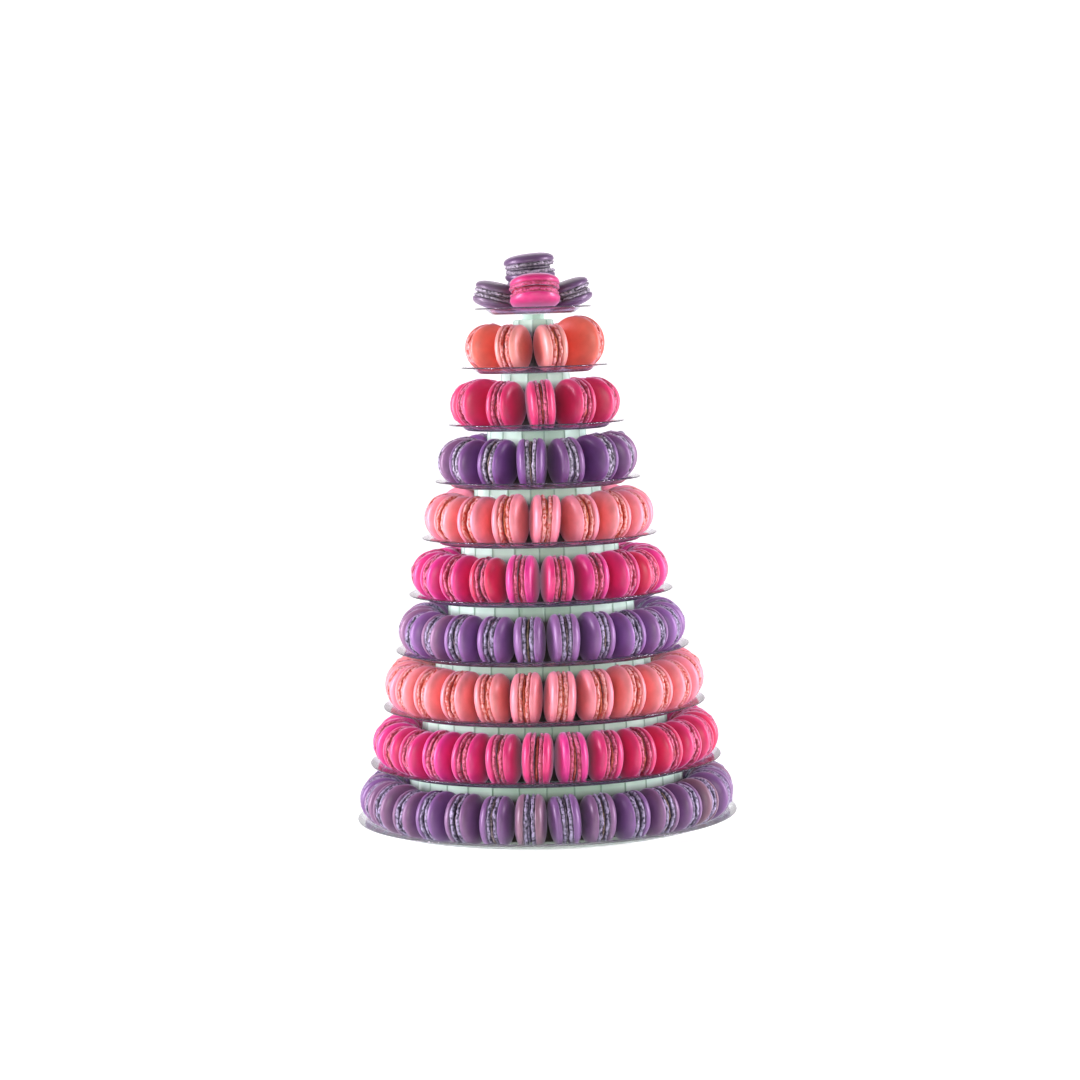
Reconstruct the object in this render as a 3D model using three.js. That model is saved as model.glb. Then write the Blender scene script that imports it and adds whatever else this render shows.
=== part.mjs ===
// Macaron pyramid: ten clear moulded trays, each carried on the riser of the one below,
// with a ring of macarons standing on edge round every riser and a small heap on the top tray.
// Millimetres, +Z up, origin under the middle of the base tray. The front of the pyramid faces -Y.

import * as THREE from 'three';

// Stand: tier 1 is the top tray and tier 10 is the base.
const tierCount = 10;
const tierPitch = 52.9;
const baseRimRadius = 180;
const rimStep = 13.85;
const sheet = 1.2;
const rimHeight = 6.5;
const flangeWidth = 9;
const troughFloorOut = 8;
const riserFootIn = 23.6;
const riserTopIn = 25.5;
const neckRadius = 10.4;
const neckHeight = 4.9;
const topRise = 1.9;
const topTraySides = 12;
const sidesPerTier = 1.15;

// Macarons of the rings, each standing with its axis along the ring.
const rimToRing = 25.5;
const macaronRadius = 22.75;
const macaronThickness = 27;
const shellEdge = 8;
const waistRadius = 0.9;
const capCorner = 0.55;
const neckShift = 3;
const ringEdgeSides = 8;
const capSides = 4;
const clearance = 0.3;
const secondTierMacarons = 8;
const macaronsAddedPerTier = 3;
const lastLooseTier = 4;

// How far a macaron strays from its even place: lean in degrees, size as a share, millimetres outwards.
const leanRange = 4;
const sizeRange = 0.035;
const strayRange = 0.6;

// Size of each tier's macarons against the mean, from the second tier down.
const tierSizes = [0.966, 1, 1, 1.02, 0.985, 0.975, 1.06, 1, 1];

// The second tier's right-hand macaron is larger than the rest and stands further out.
const large = { tier: 2, index: 1, radius: 25, outwards: 1.2 };

// Degrees that each tier's first macaron is turned from the front, from the second tier down.
const firstTurn = [20, 4.6, -4.1, 3.8, 8.6, -5.9, 6.6, -3, -5.6];

// Colours from the top tier down.
const violet = 0x8e5a9e;
const raspberry = 0xdc2468;
const peach = 0xf0806e;
const clearPlastic = 0xcfe3da;
const tierColours = [violet, peach, raspberry];
const macaronRoughness = 0.5;
const trayRoughness = 0.12;

// The heap on the top tray: turn round the tray and tilt in degrees, sizes in millimetres. The two thick
// macarons are lifted a little by the trough's shoulder, and they carry the crown.
const thick = { reach: 33.6, thickness: 31, tilt: 14, lift: 0.7 };
const thin = { reach: 33.6, thickness: 26, tilt: 17, lift: 0 };
const heap = [
  { name: 'macaron_01_front', turn: 3.5, radius: 23.4, ...thick, colour: raspberry },
  { name: 'macaron_01_right', turn: 95, radius: 21.8, ...thin, colour: violet },
  { name: 'macaron_01_back', turn: 183, radius: 22.6, ...thick, colour: violet },
  { name: 'macaron_01_left', turn: -90, radius: 21.8, ...thin, colour: violet },
];
const crown = {
  name: 'macaron_01_crown',
  radius: 23.5,
  thickness: 28,
  tilt: 4,
  height: 42.6,
  sideways: -2.5,
};

// A short repeatable sequence of uneven numbers between -1 and 1.
let seed = 2026;
function uneven() {
  seed = (seed * 9301 + 49297) % 233280;
  return (seed / 233280) * 2 - 1;
}

const radians = THREE.MathUtils.degToRad;
const rimRadius = (tier) => baseRimRadius - (tierCount - tier) * rimStep;
const trayBottom = (tier) => (tierCount - tier) * tierPitch + (tier === 1 ? topRise : 0);
const twoDigits = (number) => String(number).padStart(2, '0');

const group = new THREE.Group();
group.name = 'macaron_pyramid';

function addPiece(name, geometry, colour, roughness) {
  const material = new THREE.MeshStandardMaterial({ color: colour, roughness, metalness: 0 });
  const mesh = new THREE.Mesh(geometry, material);
  mesh.name = name;
  group.add(mesh);
  return mesh;
}

// Trays

// Half section of one tray, out along its upper face and back along its lower face.
function traySection(tier) {
  const rim = rimRadius(tier);
  const ring = rim - rimToRing;
  const flange = rim - flangeWidth;
  const floorEdge = ring + troughFloorOut;
  const upper = [];
  const lower = [];
  if (tier > 1) {
    const isNecked = tier === 2;
    const top = tierPitch - clearance + (isNecked ? topRise : 0);
    const shoulder = isNecked ? top - neckHeight : top;
    upper.push([0, top]);
    lower.push([0, top - sheet]);
    if (isNecked) {
      const inside = neckRadius - sheet;
      upper.push([neckRadius, top], [neckRadius, shoulder]);
      lower.push([inside, top - sheet], [inside, shoulder - sheet]);
    }
    upper.push([ring - riserTopIn, shoulder], [ring - riserFootIn, sheet]);
    lower.push([ring - riserTopIn - sheet, shoulder - sheet], [ring - riserFootIn - sheet, 0]);
  } else {
    upper.push([0, sheet]);
    lower.push([0, 0]);
  }
  upper.push([floorEdge, sheet], [flange, rimHeight], [rim, rimHeight]);
  lower.push([floorEdge + sheet / 2, 0], [flange + sheet / 2, rimHeight - sheet], [rim, rimHeight - sheet]);
  return [...lower, ...upper.reverse()].map(([out, up]) => new THREE.Vector2(out, up));
}

function addTray(tier) {
  const sides = 4 * Math.round((topTraySides + sidesPerTier * (tier - 1)) / 4);
  const geometry = new THREE.LatheGeometry(traySection(tier), sides);
  geometry.rotateX(Math.PI / 2);
  const tray = addPiece(`tray_${twoDigits(tier)}`, geometry, clearPlastic, trayRoughness);
  tray.position.z = trayBottom(tier);
}

// Macarons

function addMacarons(name, geometry, colour) {
  addPiece(name, geometry, colour, macaronRoughness);
}

// Ring of points round a macaron's axis, the first one at 45 degrees. A place holds the macaron's centre and
// three directions: out and across lie in its plane, and axis runs from one shell to the other.
function pointsRound(place, along, radius, sides) {
  const points = [];
  for (let i = 0; i < sides; i += 1) {
    const angle = Math.PI / 4 + (i / sides) * Math.PI * 2;
    const point = place.centre.clone();
    point.addScaledVector(place.axis, along);
    point.addScaledVector(place.out, Math.cos(angle) * radius);
    point.addScaledVector(place.across, Math.sin(angle) * radius);
    points.push(point);
  }
  return points;
}

// The two shells' edges and the narrower filling between them.
function edgeRings(place) {
  const { radius } = place;
  return [
    pointsRound(place, -shellEdge, radius, ringEdgeSides),
    pointsRound(place, 0, radius * waistRadius, ringEdgeSides),
    pointsRound(place, shellEdge, radius, ringEdgeSides),
  ];
}

// Strip of triangles between two rings of points, which may differ in number.
function stripBetween(first, second) {
  const triangles = [];
  let a = 0;
  let b = 0;
  while (a < first.length || b < second.length) {
    const from = first[a % first.length];
    const to = second[b % second.length];
    if ((a + 1) / first.length <= (b + 1) / second.length) {
      a += 1;
      triangles.push(from, first[a % first.length], to);
    } else {
      b += 1;
      triangles.push(from, second[b % second.length], to);
    }
  }
  return triangles;
}

function stripsAlong(rings) {
  return rings.slice(1).flatMap((ring, i) => stripBetween(rings[i], ring));
}

function solidFrom(triangles) {
  return new THREE.BufferGeometry().setFromPoints(triangles);
}

// One macaron by itself, with a flat cap on each shell.
function looseMacaron(place) {
  const cap = place.thickness / 2;
  const corner = place.radius * capCorner;
  const near = pointsRound(place, -cap, corner, capSides);
  const far = pointsRound(place, cap, corner, capSides);
  const nearCap = [near[0], near[2], near[1], near[0], near[3], near[2]];
  const farCap = [far[0], far[1], far[2], far[0], far[2], far[3]];
  return solidFrom([...nearCap, ...stripsAlong([near, ...edgeRings(place), far]), ...farCap]);
}

// A whole ring, in which neighbours press on each other shell to shell.
function closedRing(places, ringRadius, height) {
  const pitchTurn = (Math.PI * 2) / places.length;
  const contacts = places.map(({ turn }) => {
    const between = uprightPlace(turn - pitchTurn / 2, ringRadius - neckShift, height, macaronRadius, 0);
    return pointsRound(between, 0, macaronRadius * capCorner, capSides);
  });
  const triangles = places.flatMap((place, i) => {
    const next = contacts[(i + 1) % contacts.length];
    return stripsAlong([contacts[i], ...edgeRings(place), next]);
  });
  return solidFrom(triangles);
}

// Where a macaron stands on edge: turn is measured from the front towards +X, lean is to the side.
function uprightPlace(turn, ringRadius, height, radius, lean) {
  const out = new THREE.Vector3(Math.sin(turn), -Math.cos(turn), 0);
  const along = new THREE.Vector3(Math.cos(turn), Math.sin(turn), 0);
  const centre = out.clone().multiplyScalar(ringRadius).setZ(height);
  const axis = along.clone().applyAxisAngle(out, lean);
  const across = new THREE.Vector3(0, 0, -1).applyAxisAngle(out, lean);
  return { centre, axis, out, across, radius, turn, thickness: macaronThickness };
}

// Uneven places of all the macarons of one tier.
function tierPlaces(tier) {
  const count = secondTierMacarons + macaronsAddedPerTier * (tier - 2);
  const ringRadius = rimRadius(tier) - rimToRing;
  const floor = trayBottom(tier) + sheet + clearance;
  const places = [];
  for (let i = 0; i < count; i += 1) {
    const turn = radians(firstTurn[tier - 2]) + (i / count) * Math.PI * 2;
    const isLarge = tier === large.tier && i === large.index;
    const size = macaronRadius * tierSizes[tier - 2] * (1 + sizeRange * uneven());
    const radius = isLarge ? large.radius : size;
    const lean = radians(leanRange * uneven());
    const stray = strayRange * uneven() + (isLarge ? large.outwards : 0);
    const height = floor + radius * Math.cos(lean) + shellEdge * Math.abs(Math.sin(lean));
    places.push(uprightPlace(turn, ringRadius + stray, height, radius, lean));
  }
  return places;
}

function addTier(tier) {
  const colour = tierColours[(tier - 1) % tierColours.length];
  const places = tierPlaces(tier);
  const name = `macaron_${twoDigits(tier)}`;
  if (tier <= lastLooseTier) {
    places.forEach((place, i) => addMacarons(`${name}_${twoDigits(i + 1)}`, looseMacaron(place), colour));
  } else {
    const height = trayBottom(tier) + sheet + clearance + macaronRadius;
    addMacarons(`${name}_ring`, closedRing(places, rimRadius(tier) - rimToRing, height), colour);
  }
}

// Where a macaron lies on the top tray, with its outer edge raised.
function lyingPlace({ turn, reach, radius, thickness, tilt, lift }) {
  const angle = radians(turn);
  const slope = radians(-tilt);
  const level = new THREE.Vector3(Math.sin(angle), -Math.cos(angle), 0);
  const side = new THREE.Vector3(Math.cos(angle), Math.sin(angle), 0);
  const out = level.clone().applyAxisAngle(side, slope);
  const axis = new THREE.Vector3(0, 0, 1).applyAxisAngle(side, slope);
  const capDepth = (thickness / 2) * Math.cos(slope) - radius * capCorner * Math.sin(slope);
  const edgeDepth = shellEdge * Math.cos(slope) - radius * Math.sin(slope);
  const floor = trayBottom(1) + sheet + clearance + lift;
  const centre = level.multiplyScalar(reach).setZ(floor + Math.max(capDepth, edgeDepth));
  return { centre, axis, out, across: side, radius, thickness };
}

function addHeap() {
  heap.forEach((item) => addMacarons(item.name, looseMacaron(lyingPlace(item)), item.colour));
  const slope = radians(crown.tilt);
  const place = {
    centre: new THREE.Vector3(crown.sideways, 0, trayBottom(1) + crown.height),
    axis: new THREE.Vector3(-Math.sin(slope), 0, Math.cos(slope)),
    out: new THREE.Vector3(Math.cos(slope), 0, Math.sin(slope)),
    across: new THREE.Vector3(0, 1, 0),
    radius: crown.radius,
    thickness: crown.thickness,
  };
  addMacarons(crown.name, looseMacaron(place), violet);
}

for (let tier = tierCount; tier >= 1; tier -= 1) {
  addTray(tier);
  if (tier > 1) {
    addTier(tier);
  } else {
    addHeap();
  }
}

export default group;
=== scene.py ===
import math

import bpy
import numpy as np
from mathutils import Matrix, Vector


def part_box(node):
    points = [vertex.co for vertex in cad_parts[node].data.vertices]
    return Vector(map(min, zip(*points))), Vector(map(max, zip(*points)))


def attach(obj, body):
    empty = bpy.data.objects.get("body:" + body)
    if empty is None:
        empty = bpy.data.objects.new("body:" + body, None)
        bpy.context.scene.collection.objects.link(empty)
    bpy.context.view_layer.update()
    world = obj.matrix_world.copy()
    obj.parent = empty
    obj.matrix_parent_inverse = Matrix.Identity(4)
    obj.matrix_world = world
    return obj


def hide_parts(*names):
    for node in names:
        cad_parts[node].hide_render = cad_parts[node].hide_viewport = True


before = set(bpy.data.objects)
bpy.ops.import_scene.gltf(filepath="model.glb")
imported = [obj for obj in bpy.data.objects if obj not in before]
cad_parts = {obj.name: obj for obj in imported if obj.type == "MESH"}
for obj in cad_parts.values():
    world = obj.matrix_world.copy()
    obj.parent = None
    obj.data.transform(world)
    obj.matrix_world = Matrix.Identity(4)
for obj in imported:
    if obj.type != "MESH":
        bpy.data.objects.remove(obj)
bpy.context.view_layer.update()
mm = 0.001
tierCount = 10
print("frame loaded:", len(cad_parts), "nodes")


# Tiers, counted from the top, as the solids have them

def trayName(tier):
    return f"tray_{tier:02d}"


def trayBottom(tier):
    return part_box(trayName(tier))[0].z


def rimRadius(tier):
    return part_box(trayName(tier))[1].x


# Node helpers

def colour(code):
    channels = [int(code[i:i + 2], 16) / 255 for i in (1, 3, 5)]
    linear = [c / 12.92 if c <= 0.04045 else ((c + 0.055) / 1.055) ** 2.4 for c in channels]
    return (*linear, 1.0)


def connect(tree, socket, value):
    if isinstance(value, bpy.types.NodeSocket):
        tree.links.new(value, socket)
    else:
        socket.default_value = value


def newMaterial(name):
    material = bpy.data.materials.new(name)
    material.use_nodes = True
    return material, material.node_tree, material.node_tree.nodes["Principled BSDF"]


def mixColour(tree, share, first, second, blendType="MIX"):
    node = tree.nodes.new("ShaderNodeMix")
    node.data_type = "RGBA"
    node.blend_type = blendType
    for index, value in ((0, share), (6, first), (7, second)):  # 6 and 7 take colours
        connect(tree, node.inputs[index], value)
    return node.outputs[2]


def mixValue(tree, share, first, second):
    node = tree.nodes.new("ShaderNodeMix")
    for index, value in ((0, share), (2, first), (3, second)):
        connect(tree, node.inputs[index], value)
    return node.outputs[0]


def mapRange(tree, value, fromLow, fromHigh, toLow, toHigh):
    node = tree.nodes.new("ShaderNodeMapRange")
    for index, item in enumerate((value, fromLow, fromHigh, toLow, toHigh)):
        connect(tree, node.inputs[index], item)
    return node.outputs["Result"]


def multiply(tree, first, second):
    node = tree.nodes.new("ShaderNodeMath")
    node.operation = "MULTIPLY"
    connect(tree, node.inputs[0], first)
    connect(tree, node.inputs[1], second)
    return node.outputs[0]


noiseSpan = (0.3, 0.7)  # nearly all of the noise lies between these


# Noise by place on the object, spread over the range from low to high
def noiseRange(tree, scale, low, high, detail=2.0):
    place = tree.nodes.new("ShaderNodeTexCoord")
    texture = tree.nodes.new("ShaderNodeTexNoise")
    texture.inputs["Scale"].default_value = scale
    texture.inputs["Detail"].default_value = detail
    tree.links.new(place.outputs["Object"], texture.inputs["Vector"])
    return mapRange(tree, texture.outputs["Fac"], *noiseSpan, low, high)


def attributeValue(tree, name):
    node = tree.nodes.new("ShaderNodeAttribute")
    node.attribute_name = name
    return node.outputs["Fac"]


def bumpNormal(tree, height, strength, distance, under=None):
    node = tree.nodes.new("ShaderNodeBump")
    node.inputs["Distance"].default_value = distance
    connect(tree, node.inputs["Strength"], strength)
    connect(tree, node.inputs["Height"], height)
    if under is not None:
        tree.links.new(under, node.inputs["Normal"])
    return node.outputs["Normal"]


# Mesh helpers

# Corners of a grid's four-sided cells, as rows and columns, before its columns close round the axis
def gridCells(rowCount, columnCount):
    grid = np.meshgrid(np.arange(rowCount), np.arange(columnCount), indexing="ij")
    row, column = (values.ravel() for values in grid)
    rows = np.stack([row, row, row + 1, row + 1], axis=1)
    columns = np.stack([column, column + 1, column + 1, column], axis=1)
    return rows, columns


def cornerIndices(rows, columns, rowCount, columnCount):
    return rows % rowCount * columnCount + columns % columnCount


# Share of the way along a line of points at each point, from 0 to 1
def shareAlong(points):
    steps = np.linalg.norm(np.diff(np.asarray(points, float), axis=0), axis=1)
    distance = np.concatenate([[0], np.cumsum(steps)])
    return distance / distance[-1]


def addMesh(name, points, faces, material, corners=None, attributes=None):
    mesh = bpy.data.meshes.new(name)
    mesh.from_pydata(points.tolist(), [], faces)
    mesh.polygons.foreach_set("use_smooth", np.ones(len(mesh.polygons), bool))
    if corners is not None:
        layer = mesh.uv_layers.new(name="OFBake")  # a flat map of the surface for its colours
        layer.data.foreach_set("uv", np.asarray(corners, np.float32).ravel())
    for key, values in (attributes or {}).items():
        layer = mesh.attributes.new(key, "FLOAT", "POINT")
        layer.data.foreach_set("value", np.asarray(values, np.float32))
    mesh.materials.append(material)
    piece = bpy.data.objects.new(name, mesh)
    bpy.context.scene.collection.objects.link(piece)
    return piece


def addPiece(piece, nodes=()):
    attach(piece, "root")
    if nodes:
        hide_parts(*nodes)


# Where the macarons stand, by the same uneven sequence as the solids

layout = {
    "rimToRing": 25.5 * mm,
    "radius": 22.75 * mm,
    "thickness": 27 * mm,
    "tierThickness": (25.4, 27, 28, 28.6, 28.6, 28.6, 28.6, 28.6, 28.6),  # mm, from tier 2 down
    "floor": 1.5 * mm,
    "shellEdge": 8 * mm,
    "lean": 4,  # degrees at most, to either side
    "sizeRange": 0.035,
    "tierSizes": (0.966, 1, 1, 1.02, 0.985, 0.975, 1.06, 1, 1),
    "stray": 0.6 * mm,
    "firstCount": 8,
    "addedPerTier": 3,
    "lastLooseTier": 4,
    "firstTurns": (20, 4.6, -4.1, 3.8, 8.6, -5.9, 6.6, -3, -5.6),  # degrees, from tier 2 down
    "large": {"tier": 2, "index": 1, "radius": 25 * mm, "outwards": 1.2 * mm},
    # tier 2's tones by place: the front macarons take the lighter colour as painted light, the side ones the
    # darker as painted shade
    "litAndShadedTones": {2: (0.0, 1.0, 0.6, 0.1, 0.4, 0.0, 0.9, 0.1)},  # by tier
}
unevenRun = {"value": 2026, "times": 9301, "plus": 49297, "wrap": 233280}


def uneven():
    step = unevenRun["value"] * unevenRun["times"] + unevenRun["plus"]
    unevenRun["value"] = step % unevenRun["wrap"]
    return unevenRun["value"] / unevenRun["wrap"] * 2 - 1


def tierMacarons(tier):
    return layout["firstCount"] + layout["addedPerTier"] * (tier - 2)


def ringRadius(tier):
    return rimRadius(tier) - layout["rimToRing"]


# A place is a centre, the axis from shell to shell, a direction across it, and the macaron's size
def uprightPlaces(tier):
    count = tierMacarons(tier)
    places = []
    for i in range(count):
        turn = math.radians(layout["firstTurns"][tier - 2]) + i / count * 2 * math.pi
        radius = layout["radius"] * layout["tierSizes"][tier - 2] * (1 + layout["sizeRange"] * uneven())
        lean = math.radians(layout["lean"] * uneven())
        reach = ringRadius(tier) + layout["stray"] * uneven()
        if tier == layout["large"]["tier"] and i == layout["large"]["index"]:
            radius = layout["large"]["radius"]
            reach += layout["large"]["outwards"]
        rise = radius * math.cos(lean) + layout["shellEdge"] * abs(math.sin(lean))
        along = np.array((math.cos(turn), math.sin(turn), 0))
        height = trayBottom(tier) + layout["floor"] + rise
        centre = (math.sin(turn) * reach, -math.cos(turn) * reach, height)
        places.append({
            "centre": np.array(centre),
            "axis": along * math.cos(lean) + np.array((0, 0, math.sin(lean))),
            "side": np.array((0, 0, math.cos(lean))) - along * math.sin(lean),
            "radius": radius,
            "thickness": layout["tierThickness"][tier - 2] * mm,
        })
    return places


# Macarons on the top tray: turns and tilts in degrees, their sizes in millimetres
heap = {
    "reach": 33.6 * mm,
    "capCorner": 0.55,
    "front": {"turn": 3.5, "radius": 23.4, "thickness": 31, "tilt": 14, "lift": 0.7},
    "right": {"turn": 95, "radius": 21.8, "thickness": 26, "tilt": 17, "lift": 0},
    "back": {"turn": 183, "radius": 22.6, "thickness": 31, "tilt": 14, "lift": 0.7},
    "left": {"turn": -90, "radius": 21.8, "thickness": 26, "tilt": 17, "lift": 0},
    "crown": {"radius": 23.5, "thickness": 28, "tilt": 4, "height": 42.6, "sideways": -2.5},
}


def lyingPlace(item):
    turn, tilt = math.radians(item["turn"]), math.radians(item["tilt"])
    radius, thickness = item["radius"] * mm, item["thickness"] * mm
    level = np.array((math.sin(turn), -math.cos(turn), 0))
    up = np.array((0, 0, 1))
    capDepth = thickness / 2 * math.cos(tilt) + radius * heap["capCorner"] * math.sin(tilt)
    edgeDepth = layout["shellEdge"] * math.cos(tilt) + radius * math.sin(tilt)
    height = trayBottom(1) + layout["floor"] + item["lift"] * mm + max(capDepth, edgeDepth)
    return {
        "centre": level * heap["reach"] + up * height,
        "axis": up * math.cos(tilt) - level * math.sin(tilt),
        "side": level * math.cos(tilt) + up * math.sin(tilt),
        "radius": radius,
        "thickness": thickness,
    }


def crownPlace(item):
    tilt = math.radians(item["tilt"])
    return {
        "centre": np.array((item["sideways"] * mm, 0, trayBottom(1) + item["height"] * mm)),
        "axis": np.array((-math.sin(tilt), 0, math.cos(tilt))),
        "side": np.array((math.cos(tilt), 0, math.sin(tilt))),
        "radius": item["radius"] * mm,
        "thickness": item["thickness"] * mm,
    }


# Macaron shells: a smooth dome over a ruffled foot. Rows run from the underside up.
# Shares out are of the radius, and heights, ruffles and bulges are in millimetres

shellLook = {
    "segments": 56,
    "domeRows": 10,
    "domeRoundness": 2.6,
    "capAngle": 87,
    "lipHeight": 6.0,
    "domeTop": 13.5,
    "shareOut": (0.55, 0.87, 0.945, 0.985, 0.970, 0.920, 0.955, 0.992),
    "height": (1.9, 1.5, 1.5, 2.5, 3.7, 4.5, 5.0, 5.5),
    "ruffle": (0.0, 0.3, 0.7, 0.8, 0.7, 0.4, 0.15, 0.05),
    "foot": (1.0, 1.0, 1.0, 1.0, 1.0, 1.0, 0.5, 0.0),
    # painted shade along the recesses at the foot's edges, row by row
    "grooveShade": (1.0, 0.9, 0.35, 0.0, 0.1, 0.95, 0.5, 0.0),
    "edgeKept": 0.55,
    "edgeFresh": 0.6,
    "ruffleRise": 0.55,
    "domeWobble": 0.14,
    "wobblePasses": 60,
    "shellTilt": 2.2,
    "shellShift": 0.3,
    "mapReach": 0.97,
    "seed": 31,
}


# Uneven offsets round one edge, smoothed so that neighbours agree
def roundNoise(random, segments, passes=1):
    values = random.normal(size=segments)
    for _ in range(passes):
        values = 0.25 * np.roll(values, 1) + 0.5 * values + 0.25 * np.roll(values, -1)
    return values / values.std()


def shellProfile():
    dome = np.radians(np.linspace(0, shellLook["capAngle"], shellLook["domeRows"]))
    power = 2 / shellLook["domeRoundness"]
    rise = shellLook["domeTop"] - shellLook["lipHeight"]
    domeHeight = shellLook["lipHeight"] + rise * np.sin(dome) ** power
    profile = {
        "share": np.concatenate([shellLook["shareOut"], np.cos(dome) ** power]),
        "height": np.concatenate([shellLook["height"], domeHeight]),
    }
    for key in ("ruffle", "foot", "grooveShade"):
        profile[key] = np.concatenate([shellLook[key], np.zeros(len(dome))])
    # share of the way up the dome, which sets how much painted shade its crown takes
    profile["crown"] = np.concatenate([np.zeros(len(shellLook["height"])), dome / dome[-1]])
    return profile


# Points round the Z axis, row by row
def turnedPoints(reaches, heights, segments):
    angle = np.arange(segments) / segments * 2 * np.pi
    rows = []
    for reach, height in zip(reaches, heights):
        level = np.broadcast_to(height, segments)
        rows.append(np.stack([np.cos(angle) * reach, np.sin(angle) * reach, level], axis=1))
    return np.concatenate(rows)


def shellPoints(random, radius, thickness):
    segments = shellLook["segments"]
    scale = thickness / layout["thickness"]
    share, height, ruffle = (shellProfile()[key] for key in ("share", "height", "ruffle"))
    wobble = roundNoise(random, segments, shellLook["wobblePasses"]) * shellLook["domeWobble"]
    edge = roundNoise(random, segments)
    reaches, heights = [], []
    for i in range(len(share)):
        edge = shellLook["edgeKept"] * edge + shellLook["edgeFresh"] * roundNoise(random, segments)
        reaches.append(radius * share[i] + (ruffle[i] * edge + wobble * share[i]) * mm)
        rise = ruffle[i] * shellLook["ruffleRise"] * roundNoise(random, segments)
        heights.append(height[i] * scale * mm + rise * mm)
    return turnedPoints(reaches, heights, segments)


# Each shell sits a little askew on the filling
def askew(random, points):
    tilt = math.radians(shellLook["shellTilt"]) * random.uniform(-1, 1, 2)
    shift = shellLook["shellShift"] * mm * random.uniform(-1, 1, 2)
    turned = points.copy()
    turned[:, 2] += points[:, 0] * tilt[0] + points[:, 1] * tilt[1]
    turned[:, :2] += shift
    return turned


def toPlace(place, points):
    third = np.cross(place["axis"], place["side"])
    return place["centre"] + points @ np.array([place["side"], third, place["axis"]])


# Flat map of a round form, seen from its top, in its own square of a map that holds many
def roundMap(shares, turns, item, itemCount):
    squares = math.ceil(math.sqrt(itemCount))
    middle = np.array((item % squares, item // squares)) + 0.5
    spread = np.stack([np.cos(turns), np.sin(turns)], axis=-1) * shares[..., None]
    return (middle + spread * 0.48) / squares  # a little short of the square's edge


def addShells(name, places, material, seed):
    random = np.random.default_rng(shellLook["seed"] + seed)
    profile = shellProfile()
    rowCount, segments = len(profile["share"]), shellLook["segments"]
    shellCount = 2 * len(places)
    rows, columns = gridCells(rowCount - 1, segments)
    cells = cornerIndices(rows, columns, rowCount, segments)
    outline = np.stack([profile["share"] * layout["radius"] / mm, profile["height"]], axis=1)
    fromTop = 1 - shareAlong(outline) * shellLook["mapReach"]
    ring = np.arange(segments)
    top, bottom = ring + (rowCount - 1) * segments, ring[::-1]
    cellTurns, ringTurns = columns / segments * 2 * np.pi, ring / segments * 2 * np.pi
    topShares, bottomShares = np.full(segments, fromTop[-1]), np.ones(segments)
    points, quads, quadMap, caps, capMap, tone = [], [], [], [], [], []
    for i in range(shellCount):
        place = places[i // 2]
        if i % 2 == 0:
            macaronTone = place.get("tone", random.uniform() ** 2)  # most are close to the first colour
        local = askew(random, shellPoints(random, place["radius"], place["thickness"]))
        points.append(toPlace(place, local * (1, -1, -1) if i % 2 else local))
        start = i * rowCount * segments
        quads += (cells + start).tolist()
        quadMap.append(roundMap(fromTop[rows], cellTurns, i, shellCount).reshape(-1, 2))
        caps += [(top + start).tolist(), (bottom + start).tolist()]
        capMap.append(roundMap(topShares, ringTurns, i, shellCount))
        capMap.append(roundMap(bottomShares, ringTurns[::-1], i, shellCount))
        tone.append(np.full(len(local), macaronTone))
    attributes = {}
    for key in ("foot", "grooveShade", "crown"):
        attributes[key] = np.tile(np.repeat(profile[key], segments), shellCount)
    attributes["tone"] = np.concatenate(tone)
    corners = np.concatenate(quadMap + capMap)
    return addMesh(name, np.concatenate(points), quads + caps, material, corners, attributes)


# Fillings: a ring of cream between the shells, measured in the same way
fillingLook = {
    "segments": 48,
    "shareOut": (0.55, 0.80, 0.868, 0.885, 0.868, 0.80, 0.55),
    "height": (-1.5, -1.3, -0.7, 0.0, 0.7, 1.3, 1.5),
    "bulge": (0.0, 0.4, 0.7, 0.8, 0.7, 0.4, 0.0),
    # painted shade where the filling meets the shells, row by row
    "grooveShade": (1.0, 0.9, 0.3, 0.0, 0.3, 0.9, 1.0),
    "edgePasses": 2,
    "edgeKept": 0.7,
    "edgeFresh": 0.5,
    "mapInner": 0.35,
    "seed": 77,
}


def addFillings(name, places, material, seed):
    random = np.random.default_rng(fillingLook["seed"] + seed)
    segments, rowCount = fillingLook["segments"], len(fillingLook["shareOut"])
    rows, columns = gridCells(rowCount, segments)
    cells = cornerIndices(rows, columns, rowCount, segments)
    outline = list(zip(np.array(fillingLook["shareOut"]) * layout["radius"] / mm, fillingLook["height"]))
    inner = fillingLook["mapInner"]
    fromMiddle = inner + (1 - inner) * shareAlong(outline + outline[:1])
    cellTurns = columns / segments * 2 * np.pi
    points, faces, corners, tone = [], [], [], []
    for i, place in enumerate(places):
        scale = place["thickness"] / layout["thickness"]
        edge = roundNoise(random, segments, fillingLook["edgePasses"])
        reaches, heights = [], []
        for share, height, bulge in zip(*(fillingLook[key] for key in ("shareOut", "height", "bulge"))):
            edge = fillingLook["edgeKept"] * edge + fillingLook["edgeFresh"] * roundNoise(random, segments)
            reaches.append(place["radius"] * share + bulge * edge * mm)
            heights.append(height * scale * mm)
        points.append(toPlace(place, turnedPoints(reaches, heights, segments)))
        faces += (cells + i * rowCount * segments).tolist()
        corners.append(roundMap(fromMiddle[rows], cellTurns, i, len(places)).reshape(-1, 2))
        tone.append(np.full(rowCount * segments, random.uniform()))
    grooveShade = np.tile(np.repeat(fillingLook["grooveShade"], segments), len(places))
    attributes = {"tone": np.concatenate(tone), "grooveShade": grooveShade}
    return addMesh(name, np.concatenate(points), faces, material, np.concatenate(corners), attributes)


# Macaron materials

# Painted shade: each flavour's deep colour darkens the domes towards their crowns, and the dark colours of
# the feet's crevices and of the fillings stand in for shade there
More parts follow.
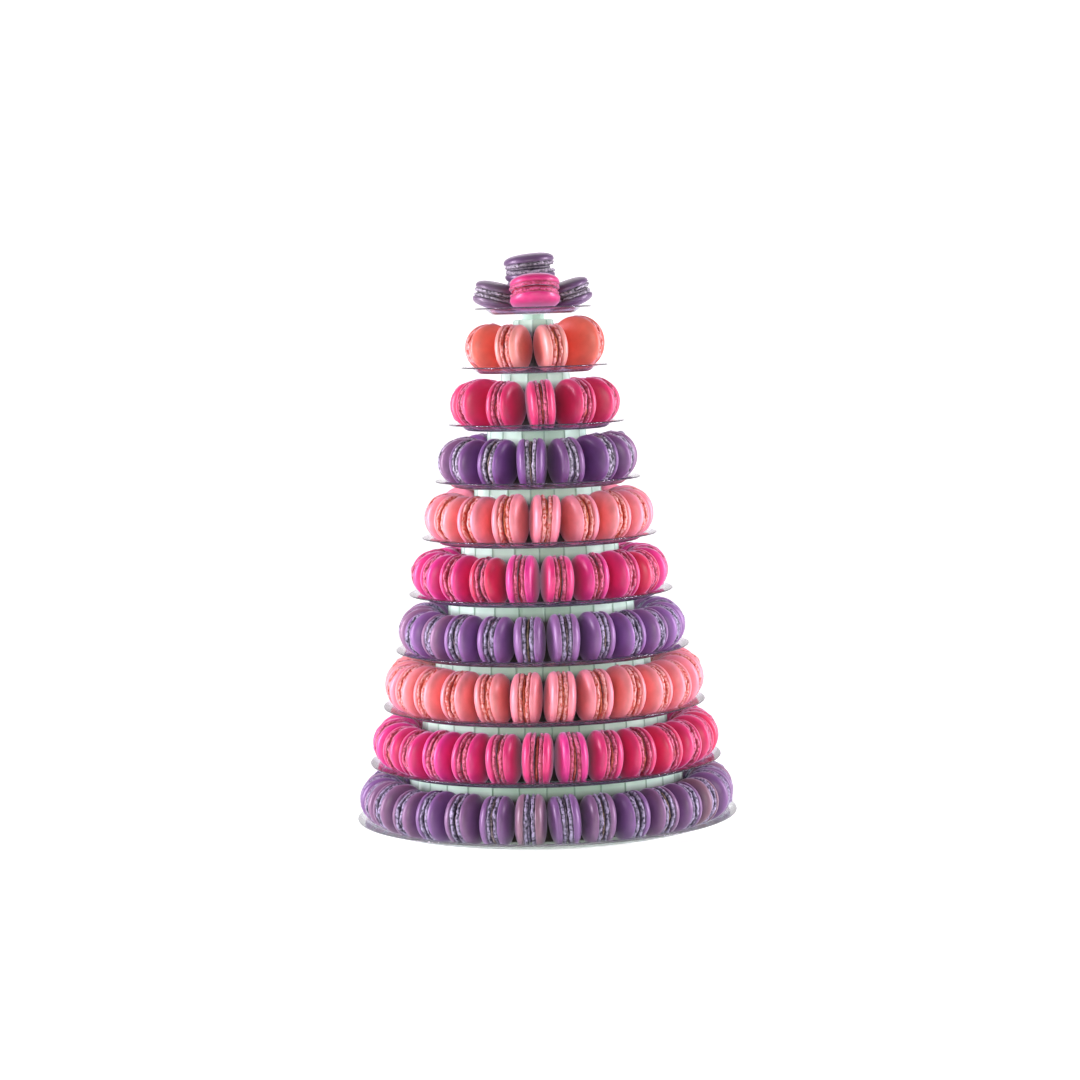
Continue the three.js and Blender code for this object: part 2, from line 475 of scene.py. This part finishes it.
flavours = {
    "violet": {
        "flavour": "violet", "sheen": 0.35,
        "shell": "#8b5fa0", "other": "#977280", "deep": "#664080",
        "foot": "#b6adcc", "pitShade": "#1a1230", "fleck": "#5d3a78",
        "filling": "#9f97b8", "fillingOther": "#b39a72", "recessShade": "#1a122c",
    },
    "raspberry": {
        "flavour": "raspberry", "sheen": 0.75,
        "shell": "#df2e8a", "other": "#dd305a", "deep": "#c21440",
        "foot": "#ec6a92", "pitShade": "#94062a", "fleck": "#a81a40",
        "filling": "#e27c66", "fillingOther": "#d2405c", "recessShade": "#84051e",
    },
    "peach": {
        "flavour": "peach", "sheen": 0.35,
        "shell": "#f4919f", "other": "#f2918b", "deep": "#e25c4a",
        "foot": "#f7b4ac", "pitShade": "#cc3c22", "fleck": "#d8604c",
        "filling": "#f8ab74", "fillingOther": "#ee8466", "recessShade": "#b42c10",
    },
}
batches = {  # what differs from the main ones
    "plum": {
        "flavour": "violet",
        "shell": "#61486a", "other": "#6c5d6e", "deep": "#4c3a54",
        "foot": "#b2adb8", "pitShade": "#0f0b14",
        "filling": "#8f8a98", "fillingOther": "#a0968c",
    },
    "mauve": {
        "flavour": "violet",
        "shell": "#7c568e", "other": "#8a6873", "deep": "#603d75",
    },
    "aubergine": {
        "flavour": "violet",
        "shell": "#734788", "other": "#805a76", "deep": "#522d68",
        "foot": "#c8c1d6", "pitShade": "#120b20",
    },
    "cherry": {
        "flavour": "raspberry",
        "shell": "#d82b66", "other": "#d0264e", "deep": "#b00c34",
    },
    "fuchsia": {
        "flavour": "raspberry",
        "shell": "#cc2672", "other": "#cc2672", "deep": "#b01c60",
        "foot": "#d0457e", "filling": "#b01e4c", "fillingOther": "#b01e4c",
    },
    # lit and shaded copies of peach: the lighter shell colour is painted light and the other colour painted
    # shade, set by place on tier 2
    "apricot": {
        "flavour": "peach",
        "shell": "#ec9e91", "other": "#e66e5a", "deep": "#d8472f",
    },
}
for batchName, batch in batches.items():
    flavours[batchName] = {**flavours[batch["flavour"]], **batch}
tierFlavours = (  # from the second tier down
    "apricot", "cherry", "aubergine",
    "peach", "raspberry", "violet",
    "peach", "raspberry", "mauve",
)
shellFinish = {
    # painted shade on the domes' crowns, where they face their neighbours
    "crownShadeFrom": 0.25,
    "crownShadeShare": 0.75,
    "mottleScale": 90,
    "mottle": (0.86, 1.06),
    "fleckScale": 1700,
    "fleck": (0.0, 0.06),
    "cragScale": 380,
    "crags": (-0.15, 1.5),
    "cragStrength": 0.7,
    "cragDepth": 0.9 * mm,
    "satinScale": 240,
    "satin": (0.34, 0.45),
    "footRoughness": 0.6,
    "skinScale": 1300,
    "skinStrength": 0.1,
    "skinDepth": 0.2 * mm,
    "sheenRoughness": 0.4,
    "sheenTint": (0.9, 0.72, 1.0, 1.0),
    "coat": 0.3,
    "coatRoughness": 0.32,
}
fillingFinish = {
    # painted shade spread in patches over the filling's recess between the shells
    "recessShadeScale": 420,
    "recessShade": (-0.2, 0.9),
    "roughScale": 300,
    "roughness": (0.36, 0.55),
    "lumpScale": 520,
    "lumpStrength": 0.7,
    "lumpDepth": 0.7 * mm,
}


def flavourTones(flavour):
    return {key: colour(code) for key, code in flavours[flavour].items() if str(code).startswith("#")}


def shellMaterial(flavour):
    tones, look = flavourTones(flavour), shellFinish
    material, tree, shader = newMaterial(f"{flavour} macaron shell")
    foot = attributeValue(tree, "foot")
    dome = mixColour(tree, attributeValue(tree, "tone"), tones["shell"], tones["other"])
    # painted shade: the dome colour deepens towards the crown
    crownShade = mapRange(tree, attributeValue(tree, "crown"), look["crownShadeFrom"], 1.0, 0.0, look["crownShadeShare"])
    dome = mixColour(tree, crownShade, dome, tones["deep"])
    mottle = noiseRange(tree, look["mottleScale"], *look["mottle"], detail=3)
    dome = mixColour(tree, 1.0, dome, mottle, "MULTIPLY")
    flecks = noiseRange(tree, look["fleckScale"], *look["fleck"], detail=1)
    dome = mixColour(tree, flecks, dome, tones["fleck"])
    crags = noiseRange(tree, look["cragScale"], *look["crags"], detail=3)
    # painted shade: the low spots of the foot's crags take the dark crevice colour
    ruffle = mixColour(tree, crags, tones["pitShade"], tones["foot"])
    # painted shade: the foot's grooves take the dark crevice colour
    ruffle = mixColour(tree, attributeValue(tree, "grooveShade"), ruffle, tones["pitShade"])
    connect(tree, shader.inputs["Base Color"], mixColour(tree, foot, dome, ruffle))
    satin = noiseRange(tree, look["satinScale"], *look["satin"])
    connect(tree, shader.inputs["Roughness"], mixValue(tree, foot, satin, look["footRoughness"]))
    pores = noiseRange(tree, look["skinScale"], 0, 1)
    skin = bumpNormal(tree, pores, look["skinStrength"], look["skinDepth"])
    cragStrength = multiply(tree, foot, look["cragStrength"])
    connect(tree, shader.inputs["Normal"], bumpNormal(tree, crags, cragStrength, look["cragDepth"], skin))
    shader.inputs["Sheen Weight"].default_value = flavours[flavour]["sheen"]
    shader.inputs["Sheen Roughness"].default_value = look["sheenRoughness"]
    shader.inputs["Sheen Tint"].default_value = look["sheenTint"]
    shader.inputs["Coat Weight"].default_value = look["coat"]
    shader.inputs["Coat Roughness"].default_value = look["coatRoughness"]
    return material


def fillingMaterial(flavour):
    tones, look = flavourTones(flavour), fillingFinish
    material, tree, shader = newMaterial(f"{flavour} macaron filling")
    cream = mixColour(tree, attributeValue(tree, "tone"), tones["filling"], tones["fillingOther"])
    # painted shade: the recessed filling is darkened in patches
    recessShadeSpots = noiseRange(tree, look["recessShadeScale"], *look["recessShade"], detail=3)
    cream = mixColour(tree, recessShadeSpots, cream, tones["recessShade"])
    # painted shade: the filling darkens where it meets the shells
    cream = mixColour(tree, attributeValue(tree, "grooveShade"), cream, tones["recessShade"])
    connect(tree, shader.inputs["Base Color"], cream)
    connect(tree, shader.inputs["Roughness"], noiseRange(tree, look["roughScale"], *look["roughness"]))
    lumps = noiseRange(tree, look["lumpScale"], 0, 1, detail=3)
    bumps = bumpNormal(tree, lumps, look["lumpStrength"], look["lumpDepth"])
    connect(tree, shader.inputs["Normal"], bumps)
    return material


shellMaterials = {flavour: shellMaterial(flavour) for flavour in flavours}
fillingMaterials = {flavour: fillingMaterial(flavour) for flavour in flavours}


def addMacarons(label, places, flavour, seed, nodes):
    addPiece(addShells(f"shells_{label}", places, shellMaterials[flavour], seed), nodes)
    addPiece(addFillings(f"fillings_{label}", places, fillingMaterials[flavour], seed))


for tier in range(tierCount, 1, -1):
    places = uprightPlaces(tier)
    # painted light and shade: on tier 2 each macaron's tone is set by where it stands
    for place, tone in zip(places, layout["litAndShadedTones"].get(tier, ())):
        place["tone"] = tone
    nodes = [f"macaron_{tier:02d}_ring"]
    if tier <= layout["lastLooseTier"]:
        nodes = [f"macaron_{tier:02d}_{i + 1:02d}" for i in range(len(places))]
    addMacarons(f"{tier:02d}", places, tierFlavours[tier - 2], tier, nodes)
    print("tier", tier, "has", len(places), "macarons")

plumSpots = ("right", "back", "left")
plumPlaces = [lyingPlace(heap[spot]) for spot in plumSpots] + [crownPlace(heap["crown"])]
plumNodes = [f"macaron_01_{spot}" for spot in (*plumSpots, "crown")]
addMacarons("01_plum", plumPlaces, "plum", 1, plumNodes)
addMacarons("01_fuchsia", [lyingPlace(heap["front"])], "fuchsia", 0, ["macaron_01_front"])
print("top heap has", len(plumPlaces) + 1, "macarons")


# Trays: a clear dish with a flat flange, and a panelled riser that carries the next tray

trayLook = {
    "segments": 144,
    "sheet": 1.2 * mm,
    "rimHeight": 6.5 * mm,
    "flange": 8.5 * mm,
    "wallFoot": 18.5 * mm,
    "wallRows": 8,
    "rimRows": 5,
    "riserFoot": 23.6 * mm,
    "riserTop": 25.5 * mm,
    "pitch": 52.9 * mm,
    "clearance": 0.3 * mm,
    "footFlare": 1.6 * mm,
    "footLevels": ((0.95, 0.0, 0.0), (0.3, 0.5, 0.4), (0.0, 1.8, 1.0)),  # share of the flare, mm up, rib
    "headLevels": ((0.0, 1.4, 1.0), (0.5, 0.4, 0.6), (1.6, 0.0, 0.0)),  # mm in, mm down, rib
    "neckRadius": 10.4 * mm,
    "neckHeight": 4.9 * mm,
    "neckFillet": 0.3 * mm,
    "neckRounding": 0.4 * mm,
    "topRise": 1.9 * mm,
    "ribHeight": 0.7 * mm,
    "ribWidth": 1.3 * mm,
    "ribFlank": 0.6,
    "middle": 0.5 * mm,
    "sharpAngle": 24,
}


# Flat map of a form turned round an axis: turns run along the map and the closed section up it
def stripMap(rows, columns, section, columnCount):
    upTo = shareAlong(list(section) + [section[0]])
    return np.stack([columns / columnCount, upTo[rows]], axis=-1).reshape(-1, 2)


def addTurned(name, rowsOfPoints, section, material, attributes=None):
    rowCount, columnCount = len(rowsOfPoints), len(rowsOfPoints[0])
    rows, columns = gridCells(rowCount, columnCount)
    faces = cornerIndices(rows, columns, rowCount, columnCount).tolist()
    corners = stripMap(rows, columns, section, columnCount)
    return addMesh(name, np.concatenate(rowsOfPoints), faces, material, corners, attributes)


# Section of a dish: out along its lower face, round the rim and back along its upper face
def dishSection(rim, inner):
    sheet = trayLook["sheet"]
    share = np.linspace(0, 1, trayLook["wallRows"] + 1)
    out = rim - trayLook["wallFoot"] + share * (trayLook["wallFoot"] - trayLook["flange"])
    up = sheet + (trayLook["rimHeight"] - sheet) * share * share * (3 - 2 * share)
    upper = [(inner, sheet), *zip(out, up)]
    lower = [(out, up - sheet) for out, up in upper]
    half = sheet / 2
    bead = np.radians(np.linspace(-90, 90, trayLook["rimRows"]))
    beadHeight = trayLook["rimHeight"] - half
    edge = [(rim - half + half * math.cos(a), beadHeight + half * math.sin(a)) for a in bead]
    return lower + edge + upper[::-1]


def addDish(tier, material):
    rim = rimRadius(tier)
    inner = trayLook["middle"]
    if tier > 1:
        inner = ringRadius(tier) - trayLook["riserFoot"] + trayLook["footFlare"]
    section = dishSection(rim, inner)
    angle = np.arange(trayLook["segments"]) / trayLook["segments"] * 2 * np.pi
    level = np.full(len(angle), trayBottom(tier))
    rows = []
    for out, up in section:
        rows.append(np.stack([np.cos(angle) * out, np.sin(angle) * out, level + up], axis=1))
    addPiece(addTurned(f"dish_{tier:02d}", rows, section, material), [trayName(tier)])


# Angles round a riser, close together at the ribs, the share of a round one's reach, and the rib's height
def riserOutline(panels, radius, turn):
    rib = trayLook["ribWidth"] / radius
    half = math.pi / panels
    steps = np.array((-half, rib / 2 - half, rib - half, -half / 2, 0, half / 2, half - rib, half - rib / 2))
    flank = trayLook["ribFlank"]
    raised = np.array((1, flank, 0, 0, 0, 0, 0, flank)) * trayLook["ribHeight"]
    centres = turn + np.arange(panels) * 2 * half
    angle = (centres[:, None] + steps[None, :]).ravel()
    return angle, np.tile(math.cos(half) / np.cos(steps), panels), np.tile(raised, panels)


# Levels of a riser as distance out, height and how far its ribs stand out
def riserLevels(tier):
    ring, sheet, flare = ringRadius(tier), trayLook["sheet"], trayLook["footFlare"]
    carriesTopTray = tier == 2
    shoulder = top = trayLook["pitch"] - trayLook["clearance"]
    if carriesTopTray:
        top += trayLook["topRise"]
        shoulder = top - trayLook["neckHeight"]
    foot, head = ring - trayLook["riserFoot"], ring - trayLook["riserTop"]
    outside = [(foot + flare * share, sheet + up * mm, rib) for share, up, rib in trayLook["footLevels"]]
    outside += [(head - inward * mm, shoulder - down * mm, rib)
                for inward, down, rib in trayLook["headLevels"]]
    if carriesTopTray:
        neck, rounding = trayLook["neckRadius"], trayLook["neckRounding"]
        outside += [
            (neck + trayLook["neckFillet"], shoulder, 0.0),
            (neck, shoulder + rounding, 0.0),
            (neck, top - rounding, 0.0),
            (neck - rounding, top, 0.0),
        ]
    outside.append((trayLook["middle"], top, 0.0))
    inside = [(max(out - sheet, trayLook["middle"]), up - sheet, rib) for out, up, rib in outside]
    return inside[::-1] + outside, foot


def addRiser(tier, material):
    levels, foot = riserLevels(tier)
    turn = math.radians(layout["firstTurns"][tier - 2])
    angle, flat, raised = riserOutline(tierMacarons(tier), foot, turn)
    base = np.full(len(angle), trayBottom(tier))
    rows = []
    for out, up, rib in levels:
        reach = out * (1 + (flat - 1) * min(1.0, out / foot)) + raised * rib
        rows.append(np.stack([np.sin(angle) * reach, -np.cos(angle) * reach, base + up], axis=1))
    section = [(out, up) for out, up, _ in levels]
    ribs = np.concatenate([raised * rib / trayLook["ribHeight"] for _, _, rib in levels])
    depths = np.concatenate([np.full(len(angle), 1 - up / trayLook["pitch"]) for _, up, _ in levels])
    riser = addTurned(f"riser_{tier:02d}", rows, section, material, {"rib": ribs, "depth": depths})
    riser.data.set_sharp_from_angle(angle=math.radians(trayLook["sharpAngle"]))
    addPiece(riser)


# Lamps shine through the sheet instead of casting its shadow
def letLampsThrough(tree, shader, tint):
    path = tree.nodes.new("ShaderNodeLightPath")
    passing = tree.nodes.new("ShaderNodeBsdfTransparent")
    passing.inputs["Color"].default_value = tint
    mix = tree.nodes.new("ShaderNodeMixShader")
    tree.links.new(path.outputs["Is Shadow Ray"], mix.inputs[0])
    tree.links.new(shader.outputs[0], mix.inputs[1])
    tree.links.new(passing.outputs[0], mix.inputs[2])
    tree.links.new(mix.outputs[0], tree.nodes["Material Output"].inputs["Surface"])


# Plastic sheet of the dishes, of the base dish and of the risers
clearPlastic = {
    "name": "clear plastic",
    "pale": "#e4d9ee",
    "deep": "#d2c5e2",
    "roughness": (0.07, 0.14),
    "waviness": 0.01,
    "gloss": 0.5,
    "transmission": 0.97,
    "lampTint": "#eef2f2",
}
basePlastic = {
    "name": "pale clear plastic",
    "pale": "#f4f9f6",
    "deep": "#e6f0eb",
    "roughness": (0.07, 0.14),
    "waviness": 0.01,
    "gloss": 0.5,
    "transmission": 0.9,
    "lampTint": "#eef4f1",
}
milkyPlastic = {
    "name": "milky plastic",
    "pale": "#daf6e0",
    "deep": "#c9e9d1",
    "roughness": (0.35, 0.45),
    "waviness": 0.08,
    "gloss": 0.15,
    "transmission": 0.15,
    "lampTint": "#d4eada",
    "seam": "#90b39b",
    "shade": "#4c4644",
    "shadeDepths": (0.13, 0.30),  # shares of the pitch, from the riser's top down
}
sheetFinish = {
    "toneScale": 34,
    "roughScale": 60,
    "waveScale": 40,
    "waveDepth": 0.6 * mm,
    "refraction": 1.46,
}


def plasticMaterial(look):
    material, tree, shader = newMaterial(look["name"])
    cloudy = noiseRange(tree, sheetFinish["toneScale"], 0, 1)
    tone = mixColour(tree, cloudy, colour(look["pale"]), colour(look["deep"]))
    if "seam" in look:
        tone = mixColour(tree, attributeValue(tree, "rib"), tone, colour(look["seam"]))
        shaded = mapRange(tree, attributeValue(tree, "depth"), *look["shadeDepths"], 0, 1)
        tone = mixColour(tree, shaded, tone, colour(look["shade"]))
    connect(tree, shader.inputs["Base Color"], tone)
    rough = noiseRange(tree, sheetFinish["roughScale"], *look["roughness"])
    connect(tree, shader.inputs["Roughness"], rough)
    waves = noiseRange(tree, sheetFinish["waveScale"], 0, 1)
    wavy = bumpNormal(tree, waves, look["waviness"], sheetFinish["waveDepth"])
    connect(tree, shader.inputs["Normal"], wavy)
    shader.inputs["Transmission Weight"].default_value = look["transmission"]
    shader.inputs["IOR"].default_value = sheetFinish["refraction"]
    shader.inputs["Specular IOR Level"].default_value = look["gloss"]
    letLampsThrough(tree, shader, colour(look["lampTint"]))
    return material


clearSheet = plasticMaterial(clearPlastic)
baseSheet = plasticMaterial(basePlastic)
milkySheet = plasticMaterial(milkyPlastic)
for tier in range(tierCount, 0, -1):
    addDish(tier, baseSheet if tier == tierCount else clearSheet)
    if tier > 1:
        addRiser(tier, milkySheet)
print("trays made:", tierCount)


# Stage, light and camera

stageLook = {
    "halfWidth": 7.0,
    "front": -7.0,
    "bend": 1.6,
    "bendRadius": 1.2,
    "bendRows": 17,
    "top": 5.0,
    "floor": -0.3 * mm,
    "paper": (0.9, 0.9, 0.9, 1),
    "paperOther": (0.88, 0.88, 0.885, 1),
    "paperDim": (0.3, 0.3, 0.3, 1),
    "paperScale": 3,
    "roughness": 0.9,
    "glow": 0.5,
    "sideGlow": 0.85,
    "glowTint": (0.96, 1.0, 0.95, 1),
    "fadeFrom": 1.2,  # from here on out the paper turns to its sides
    "fadeTo": 2.2,
    "wallFrom": 0.1,  # from here on up it turns from floor to wall
    "wallTo": 0.6,
}


def paperMaterial():
    material, tree, shader = newMaterial("pale studio paper")
    place = tree.nodes.new("ShaderNodeTexCoord")
    axes = tree.nodes.new("ShaderNodeSeparateXYZ")
    tree.links.new(place.outputs["Object"], axes.inputs[0])
    left = mapRange(tree, axes.outputs["X"], -stageLook["fadeTo"], -stageLook["fadeFrom"], 0, 1)
    right = mapRange(tree, axes.outputs["X"], stageLook["fadeTo"], stageLook["fadeFrom"], 0, 1)
    wall = mapRange(tree, axes.outputs["Z"], stageLook["wallFrom"], stageLook["wallTo"], 0, 1)
    sides = mapRange(tree, multiply(tree, left, right), 0, 1, 1, 0)
    dim = multiply(tree, wall, sides)
    clouds = noiseRange(tree, stageLook["paperScale"], 0, 1)
    paper = mixColour(tree, clouds, stageLook["paper"], stageLook["paperOther"])
    connect(tree, shader.inputs["Base Color"], mixColour(tree, dim, paper, stageLook["paperDim"]))
    floorGlow = mapRange(tree, sides, 0, 1, stageLook["glow"], stageLook["sideGlow"])
    wallGlow = mapRange(tree, sides, 0, 1, stageLook["glow"], 0)
    connect(tree, shader.inputs["Emission Strength"], mixValue(tree, wall, floorGlow, wallGlow))
    shader.inputs["Roughness"].default_value = stageLook["roughness"]
    shader.inputs["Emission Color"].default_value = stageLook["glowTint"]
    return material


def addStage():
    bend = np.radians(np.linspace(0, 90, stageLook["bendRows"]))
    radius = stageLook["bendRadius"]
    curve = [(stageLook["front"], 0.0)]
    curve += [(stageLook["bend"] + radius * math.sin(a), radius - radius * math.cos(a)) for a in bend]
    curve.append((stageLook["bend"] + radius, stageLook["top"]))
    points = [(x, y, z + stageLook["floor"]) for y, z in curve
              for x in (-stageLook["halfWidth"], stageLook["halfWidth"])]
    faces = [(2 * i, 2 * i + 1, 2 * i + 3, 2 * i + 2) for i in range(len(curve) - 1)]
    addMesh("studio_paper", np.array(points), faces, paperMaterial())


surroundLook = {
    "tint": (1.0, 0.98, 0.97, 1.0),
    "light": 0.07,
    "seen": 0.85,
}


# Pale where it is seen, and dim as light
def addSurround():
    world = bpy.data.worlds.new("studio")
    world.use_nodes = True
    tree = world.node_tree
    path = tree.nodes.new("ShaderNodeLightPath")
    background = tree.nodes["Background"]
    background.inputs["Color"].default_value = surroundLook["tint"]
    strength = mixValue(tree, path.outputs["Is Camera Ray"], surroundLook["light"], surroundLook["seen"])
    connect(tree, background.inputs["Strength"], strength)
    bpy.context.scene.world = world


lilac, neutral = (0.96, 0.8, 1.0), (1.0, 0.96, 0.91)
lights = (
    {"name": "left softbox", "place": (-1.75, -0.4, 0.45), "size": (0.5, 1.6), "power": 63, "tint": lilac},
    {"name": "right softbox", "place": (1.75, -0.2, 0.45), "size": (0.5, 1.6), "power": 50, "tint": lilac},
    {"name": "front fill", "place": (0.0, -6.6, 1.35), "size": (3.2, 1.2), "power": 112, "tint": neutral},
    {"name": "top softbox", "place": (0.0, 0.1, 2.2), "size": (1.6, 1.6), "power": 3, "tint": neutral},
)
lightTarget = (0, 0, 0.25)


def addLight(item):
    data = bpy.data.lights.new(item["name"], "AREA")
    data.shape = "RECTANGLE"
    data.size, data.size_y = item["size"]
    data.energy = item["power"]
    data.color = item["tint"]
    lamp = bpy.data.objects.new(item["name"], data)
    lamp.location = item["place"]
    lamp.rotation_mode = "QUATERNION"
    lamp.rotation_quaternion = (Vector(lightTarget) - Vector(item["place"])).to_track_quat("-Z", "Y")
    bpy.context.scene.collection.objects.link(lamp)


cameraLook = {
    "lens": 93.96,
    "sensor": 36.0,
    "place": (0.00039, -2.655, 0.473),
    "pitch": 4.481,
    "roll": 1.654,
}


def addCamera():
    data = bpy.data.cameras.new("camera")
    data.lens = cameraLook["lens"]
    data.sensor_width = cameraLook["sensor"]
    camera = bpy.data.objects.new("camera", data)
    bpy.context.scene.collection.objects.link(camera)
    tip = Matrix.Rotation(math.radians(90 - cameraLook["pitch"]), 4, "X")
    roll = Matrix.Rotation(math.radians(-cameraLook["roll"]), 4, "Z")
    camera.matrix_world = Matrix.Translation(cameraLook["place"]) @ tip @ roll
    bpy.context.scene.camera = camera


addStage()
for item in lights:
    addLight(item)
addCamera()
addSurround()
bpy.context.scene.view_settings.view_transform = "Standard"
print("stage, light and camera ready")
